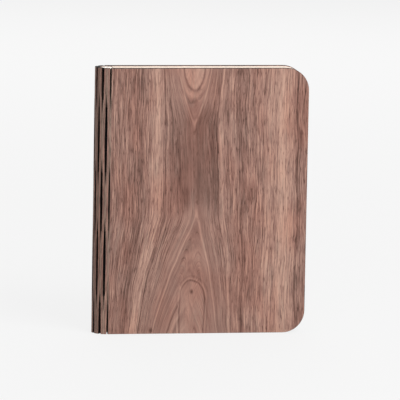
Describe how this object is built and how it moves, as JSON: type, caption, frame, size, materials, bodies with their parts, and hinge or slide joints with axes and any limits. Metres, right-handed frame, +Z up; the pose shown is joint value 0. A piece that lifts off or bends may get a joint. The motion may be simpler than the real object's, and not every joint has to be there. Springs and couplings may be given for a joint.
{
  "type": "folding book lamp",
  "caption": "Book-shaped folding lamp: walnut covers on a slatted living-hinge spine open round a light bar, fanning a pleated paper shade.",
  "frame": {"origin": "centre of the closed lamp outline on the surface that it stands on", "axes": "+X from the spine to the fore-edge, -Y the front cover, +Z up along the spine"},
  "size_m": [0.172, 0.023, 0.215],
  "materials": {
    "walnut": "satin oiled walnut, vertical grain",
    "pleated_paper": "matte cream pleated paper",
    "channel_aluminium": "anodised extrusion",
    "opal_diffuser": "opal, light-scattering",
    "white_cap": "moulded, fine texture",
    "white_board": "white solder mask",
    "diode_phosphor": "yellow phosphor",
    "cell_foil": "laminated foil pouch",
    "green_board": "green solder mask",
    "socket_steel": "plated steel",
    "black_plastic": "moulded epoxy",
    "magnet_nickel": "nickel plated"
  },
  "bodies": {
    "light_bar": {"middle_slat": "walnut", "bar_channel": "channel_aluminium", "bar_diffuser": "opal_diffuser", "bar_top_cap": "white_cap", "bar_bottom_cap": "white_cap", "led_board": "white_board", "leds": "diode_phosphor", "battery_cell": "cell_foil", "charging_board": "green_board", "charging_socket": "socket_steel", "magnetic_sensor": "black_plastic"},
    "front_panel_1": {"front_panel_1": "pleated_paper"},
    "front_panel_2": {"front_panel_2": "pleated_paper"},
    "front_panel_3": {"front_panel_3": "pleated_paper"},
    "front_panel_4": {"front_panel_4": "pleated_paper"},
    "front_panel_5": {"front_panel_5": "pleated_paper"},
    "front_panel_6": {"front_panel_6": "pleated_paper"},
    "front_panel_7": {"front_panel_7": "pleated_paper"},
    "front_panel_8": {"front_panel_8": "pleated_paper"},
    "front_panel_9": {"front_panel_9": "pleated_paper"},
    "front_panel_10": {"front_panel_10": "pleated_paper"},
    "front_panel_11": {"front_panel_11": "pleated_paper"},
    "front_panel_12": {"front_panel_12": "pleated_paper"},
    "front_panel_13": {"front_panel_13": "pleated_paper"},
    "front_panel_14": {"front_panel_14": "pleated_paper"},
    "front_panel_15": {"front_panel_15": "pleated_paper"},
    "front_panel_16": {"front_panel_16": "pleated_paper"},
    "front_cover": {"front_cover": "walnut", "front_magnets": "magnet_nickel"},
    "front_slat_5": {"front_slat_5": "walnut"},
    "front_slat_4": {"front_slat_4": "walnut"},
    "front_slat_3": {"front_slat_3": "walnut"},
    "front_slat_2": {"front_slat_2": "walnut"},
    "front_slat_1": {"front_slat_1": "walnut"},
    "back_panel_1": {"back_panel_1": "pleated_paper"},
    "back_panel_2": {"back_panel_2": "pleated_paper"},
    "back_panel_3": {"back_panel_3": "pleated_paper"},
    "back_panel_4": {"back_panel_4": "pleated_paper"},
    "back_panel_5": {"back_panel_5": "pleated_paper"},
    "back_panel_6": {"back_panel_6": "pleated_paper"},
    "back_panel_7": {"back_panel_7": "pleated_paper"},
    "back_panel_8": {"back_panel_8": "pleated_paper"},
    "back_panel_9": {"back_panel_9": "pleated_paper"},
    "back_panel_10": {"back_panel_10": "pleated_paper"},
    "back_panel_11": {"back_panel_11": "pleated_paper"},
    "back_panel_12": {"back_panel_12": "pleated_paper"},
    "back_panel_13": {"back_panel_13": "pleated_paper"},
    "back_panel_14": {"back_panel_14": "pleated_paper"},
    "back_panel_15": {"back_panel_15": "pleated_paper"},
    "back_panel_16": {"back_panel_16": "pleated_paper"},
    "back_cover": {"back_cover": "walnut", "back_magnets": "magnet_nickel"},
    "back_slat_5": {"back_slat_5": "walnut"},
    "back_slat_4": {"back_slat_4": "walnut"},
    "back_slat_3": {"back_slat_3": "walnut"},
    "back_slat_2": {"back_slat_2": "walnut"},
    "back_slat_1": {"back_slat_1": "walnut"}
  },
  "joints": [
    {"name": "front_opening", "type": "hinge", "parent": "light_bar", "child": "front_panel_7", "pos_m": [-0.0839, -0.00182, 0.1075], "axis": [0, 0, -1], "range_deg": [0, 80.02]},
    {"name": "front_cover_hinge", "type": "hinge", "parent": "front_panel_7", "child": "front_cover", "pos_m": [-0.0787, -0.00887, 0.1075], "axis": [0, 0, -1], "range_deg": [0, 101.84]},
    {"name": "front_fold_1", "type": "hinge", "parent": "light_bar", "child": "front_panel_1", "pos_m": [-0.0716, 0, 0.1075], "axis": [0, 0, -1], "range_deg": [0, 11.42]},
    {"name": "front_fold_2", "type": "hinge", "parent": "front_panel_1", "child": "front_panel_2", "pos_m": [0.0855, -0.00045, 0.1075], "axis": [0, 0, 1], "range_deg": [0, 2.31]},
    {"name": "front_fold_3", "type": "hinge", "parent": "front_panel_2", "child": "front_panel_3", "pos_m": [-0.0716, -0.0009, 0.1075], "axis": [0, 0, -1], "range_deg": [0, 25.52]},
    {"name": "front_fold_4", "type": "hinge", "parent": "front_panel_3", "child": "front_panel_4", "pos_m": [0.0855, -0.00135, 0.1075], "axis": [0, 0, 1], "range_deg": [0, 0.4502]},
    {"name": "front_fold_5", "type": "hinge", "parent": "front_panel_4", "child": "front_panel_5", "pos_m": [-0.0716, -0.0018, 0.1075], "axis": [0, 0, -1], "range_deg": [0, 25.46]},
    {"name": "front_fold_6", "type": "hinge", "parent": "front_panel_5", "child": "front_panel_6", "pos_m": [0.0855, -0.00225, 0.1075], "axis": [0, 0, 1], "range_deg": [0, 3.36]},
    {"name": "front_fold_8", "type": "hinge", "parent": "front_panel_7", "child": "front_panel_8", "pos_m": [0.0855, -0.00315, 0.1075], "axis": [0, 0, 1], "range_deg": [0, 2.03]},
    {"name": "front_fold_9", "type": "hinge", "parent": "front_panel_8", "child": "front_panel_9", "pos_m": [-0.0716, -0.0036, 0.1075], "axis": [0, 0, -1], "range_deg": [0, 21.11]},
    {"name": "front_fold_10", "type": "hinge", "parent": "front_panel_9", "child": "front_panel_10", "pos_m": [0.0855, -0.00405, 0.1075], "axis": [0, 0, 1], "range_deg": [0, 0.4502]},
    {"name": "front_fold_11", "type": "hinge", "parent": "front_panel_10", "child": "front_panel_11", "pos_m": [-0.0716, -0.0045, 0.1075], "axis": [0, 0, -1], "range_deg": [0, 23.85]},
    {"name": "front_fold_12", "type": "hinge", "parent": "front_panel_11", "child": "front_panel_12", "pos_m": [0.0855, -0.00495, 0.1075], "axis": [0, 0, 1], "range_deg": [0, 0.4502]},
    {"name": "front_fold_13", "type": "hinge", "parent": "front_panel_12", "child": "front_panel_13", "pos_m": [-0.0716, -0.0054, 0.1075], "axis": [0, 0, -1], "range_deg": [0, 28.69]},
    {"name": "front_fold_14", "type": "hinge", "parent": "front_panel_13", "child": "front_panel_14", "pos_m": [0.0855, -0.00585, 0.1075], "axis": [0, 0, 1], "range_deg": [0, 0.4502]},
    {"name": "front_fold_15", "type": "hinge", "parent": "front_panel_14", "child": "front_panel_15", "pos_m": [-0.0716, -0.0063, 0.1075], "axis": [0, 0, -1], "range_deg": [0, 32.02]},
    {"name": "front_fold_16", "type": "hinge", "parent": "front_panel_15", "child": "front_panel_16", "pos_m": [0.0855, -0.00675, 0.1075], "axis": [0, 0, 1], "range_deg": [0, 0.4502]},
    {"name": "front_slat_5_hinge", "type": "hinge", "parent": "light_bar", "child": "front_slat_5", "pos_m": [-0.0839, -0.00134, 0.1075], "axis": [0, 0, -1], "range_deg": [0, 36]},
    {"name": "front_slat_4_hinge", "type": "hinge", "parent": "front_slat_5", "child": "front_slat_4", "pos_m": [-0.08315, -0.00391, 0.1075], "axis": [0, 0, -1], "range_deg": [0, 36]},
    {"name": "front_slat_3_hinge", "type": "hinge", "parent": "front_slat_4", "child": "front_slat_3", "pos_m": [-0.0817, -0.00616, 0.1075], "axis": [0, 0, -1], "range_deg": [0, 36]},
    {"name": "front_slat_2_hinge", "type": "hinge", "parent": "front_slat_3", "child": "front_slat_2", "pos_m": [-0.07968, -0.00791, 0.1075], "axis": [0, 0, -1], "range_deg": [0, 36]},
    {"name": "front_slat_1_hinge", "type": "hinge", "parent": "front_slat_2", "child": "front_slat_1", "pos_m": [-0.07724, -0.00902, 0.1075], "axis": [0, 0, -1], "range_deg": [0, 36]},
    {"name": "back_opening", "type": "hinge", "parent": "light_bar", "child": "back_panel_7", "pos_m": [-0.0839, 0.00182, 0.1075], "axis": [0, 0, 1], "range_deg": [0, 80.02]},
    {"name": "back_cover_hinge", "type": "hinge", "parent": "back_panel_7", "child": "back_cover", "pos_m": [-0.0787, 0.00887, 0.1075], "axis": [0, 0, 1], "range_deg": [0, 101.84]},
    {"name": "back_fold_1", "type": "hinge", "parent": "light_bar", "child": "back_panel_1", "pos_m": [-0.0716, 0, 0.1075], "axis": [0, 0, 1], "range_deg": [0, 11.42]},
    {"name": "back_fold_2", "type": "hinge", "parent": "back_panel_1", "child": "back_panel_2", "pos_m": [0.0855, 0.00045, 0.1075], "axis": [0, 0, -1], "range_deg": [0, 2.31]},
    {"name": "back_fold_3", "type": "hinge", "parent": "back_panel_2", "child": "back_panel_3", "pos_m": [-0.0716, 0.0009, 0.1075], "axis": [0, 0, 1], "range_deg": [0, 25.52]},
    {"name": "back_fold_4", "type": "hinge", "parent": "back_panel_3", "child": "back_panel_4", "pos_m": [0.0855, 0.00135, 0.1075], "axis": [0, 0, -1], "range_deg": [0, 0.4502]},
    {"name": "back_fold_5", "type": "hinge", "parent": "back_panel_4", "child": "back_panel_5", "pos_m": [-0.0716, 0.0018, 0.1075], "axis": [0, 0, 1], "range_deg": [0, 25.46]},
    {"name": "back_fold_6", "type": "hinge", "parent": "back_panel_5", "child": "back_panel_6", "pos_m": [0.0855, 0.00225, 0.1075], "axis": [0, 0, -1], "range_deg": [0, 3.36]},
    {"name": "back_fold_8", "type": "hinge", "parent": "back_panel_7", "child": "back_panel_8", "pos_m": [0.0855, 0.00315, 0.1075], "axis": [0, 0, -1], "range_deg": [0, 2.03]},
    {"name": "back_fold_9", "type": "hinge", "parent": "back_panel_8", "child": "back_panel_9", "pos_m": [-0.0716, 0.0036, 0.1075], "axis": [0, 0, 1], "range_deg": [0, 21.11]},
    {"name": "back_fold_10", "type": "hinge", "parent": "back_panel_9", "child": "back_panel_10", "pos_m": [0.0855, 0.00405, 0.1075], "axis": [0, 0, -1], "range_deg": [0, 0.4502]},
    {"name": "back_fold_11", "type": "hinge", "parent": "back_panel_10", "child": "back_panel_11", "pos_m": [-0.0716, 0.0045, 0.1075], "axis": [0, 0, 1], "range_deg": [0, 23.85]},
    {"name": "back_fold_12", "type": "hinge", "parent": "back_panel_11", "child": "back_panel_12", "pos_m": [0.0855, 0.00495, 0.1075], "axis": [0, 0, -1], "range_deg": [0, 0.4502]},
    {"name": "back_fold_13", "type": "hinge", "parent": "back_panel_12", "child": "back_panel_13", "pos_m": [-0.0716, 0.0054, 0.1075], "axis": [0, 0, 1], "range_deg": [0, 28.69]},
    {"name": "back_fold_14", "type": "hinge", "parent": "back_panel_13", "child": "back_panel_14", "pos_m": [0.0855, 0.00585, 0.1075], "axis": [0, 0, -1], "range_deg": [0, 0.4502]},
    {"name": "back_fold_15", "type": "hinge", "parent": "back_panel_14", "child": "back_panel_15", "pos_m": [-0.0716, 0.0063, 0.1075], "axis": [0, 0, 1], "range_deg": [0, 32.02]},
    {"name": "back_fold_16", "type": "hinge", "parent": "back_panel_15", "child": "back_panel_16", "pos_m": [0.0855, 0.00675, 0.1075], "axis": [0, 0, -1], "range_deg": [0, 0.4502]},
    {"name": "back_slat_5_hinge", "type": "hinge", "parent": "light_bar", "child": "back_slat_5", "pos_m": [-0.0839, 0.00134, 0.1075], "axis": [0, 0, 1], "range_deg": [0, 36]},
    {"name": "back_slat_4_hinge", "type": "hinge", "parent": "back_slat_5", "child": "back_slat_4", "pos_m": [-0.08315, 0.00391, 0.1075], "axis": [0, 0, 1], "range_deg": [0, 36]},
    {"name": "back_slat_3_hinge", "type": "hinge", "parent": "back_slat_4", "child": "back_slat_3", "pos_m": [-0.0817, 0.00616, 0.1075], "axis": [0, 0, 1], "range_deg": [0, 36]},
    {"name": "back_slat_2_hinge", "type": "hinge", "parent": "back_slat_3", "child": "back_slat_2", "pos_m": [-0.07968, 0.00791, 0.1075], "axis": [0, 0, 1], "range_deg": [0, 36]},
    {"name": "back_slat_1_hinge", "type": "hinge", "parent": "back_slat_2", "child": "back_slat_1", "pos_m": [-0.07724, 0.00902, 0.1075], "axis": [0, 0, 1], "range_deg": [0, 36]}
  ],
  "couplings": [
    {"joint": "front_cover_hinge", "follows": "front_opening", "ratio": 1.2727},
    {"joint": "front_fold_1", "follows": "front_opening", "ratio": 0.14277},
    {"joint": "front_fold_2", "follows": "front_opening", "ratio": 0.028834},
    {"joint": "front_fold_3", "follows": "front_opening", "ratio": 0.31893},
    {"joint": "front_fold_4", "follows": "front_opening", "ratio": 0.005624},
    {"joint": "front_fold_5", "follows": "front_opening", "ratio": 0.31824},
    {"joint": "front_fold_6", "follows": "front_opening", "ratio": 0.042033},
    {"joint": "front_fold_8", "follows": "front_opening", "ratio": 0.025395},
    {"joint": "front_fold_9", "follows": "front_opening", "ratio": 0.26385},
    {"joint": "front_fold_10", "follows": "front_opening", "ratio": 0.005624},
    {"joint": "front_fold_11", "follows": "front_opening", "ratio": 0.29811},
    {"joint": "front_fold_12", "follows": "front_opening", "ratio": 0.005624},
    {"joint": "front_fold_13", "follows": "front_opening", "ratio": 0.35854},
    {"joint": "front_fold_14", "follows": "front_opening", "ratio": 0.005624},
    {"joint": "front_fold_15", "follows": "front_opening", "ratio": 0.40011},
    {"joint": "front_fold_16", "follows": "front_opening", "ratio": 0.005624},
    {"joint": "front_slat_5_hinge", "follows": "front_opening", "ratio": 0.44991},
    {"joint": "front_slat_4_hinge", "follows": "front_opening", "ratio": 0.44991},
    {"joint": "front_slat_3_hinge", "follows": "front_opening", "ratio": 0.44991},
    {"joint": "front_slat_2_hinge", "follows": "front_opening", "ratio": 0.44991},
    {"joint": "front_slat_1_hinge", "follows": "front_opening", "ratio": 0.44991},
    {"joint": "back_cover_hinge", "follows": "back_opening", "ratio": 1.2727},
    {"joint": "back_fold_1", "follows": "back_opening", "ratio": 0.14277},
    {"joint": "back_fold_2", "follows": "back_opening", "ratio": 0.028834},
    {"joint": "back_fold_3", "follows": "back_opening", "ratio": 0.31893},
    {"joint": "back_fold_4", "follows": "back_opening", "ratio": 0.005624},
    {"joint": "back_fold_5", "follows": "back_opening", "ratio": 0.31824},
    {"joint": "back_fold_6", "follows": "back_opening", "ratio": 0.042033},
    {"joint": "back_fold_8", "follows": "back_opening", "ratio": 0.025395},
    {"joint": "back_fold_9", "follows": "back_opening", "ratio": 0.26385},
    {"joint": "back_fold_10", "follows": "back_opening", "ratio": 0.005624},
    {"joint": "back_fold_11", "follows": "back_opening", "ratio": 0.29811},
    {"joint": "back_fold_12", "follows": "back_opening", "ratio": 0.005624},
    {"joint": "back_fold_13", "follows": "back_opening", "ratio": 0.35854},
    {"joint": "back_fold_14", "follows": "back_opening", "ratio": 0.005624},
    {"joint": "back_fold_15", "follows": "back_opening", "ratio": 0.40011},
    {"joint": "back_fold_16", "follows": "back_opening", "ratio": 0.005624},
    {"joint": "back_slat_5_hinge", "follows": "back_opening", "ratio": 0.44991},
    {"joint": "back_slat_4_hinge", "follows": "back_opening", "ratio": 0.44991},
    {"joint": "back_slat_3_hinge", "follows": "back_opening", "ratio": 0.44991},
    {"joint": "back_slat_2_hinge", "follows": "back_opening", "ratio": 0.44991},
    {"joint": "back_slat_1_hinge", "follows": "back_opening", "ratio": 0.44991}
  ]
}
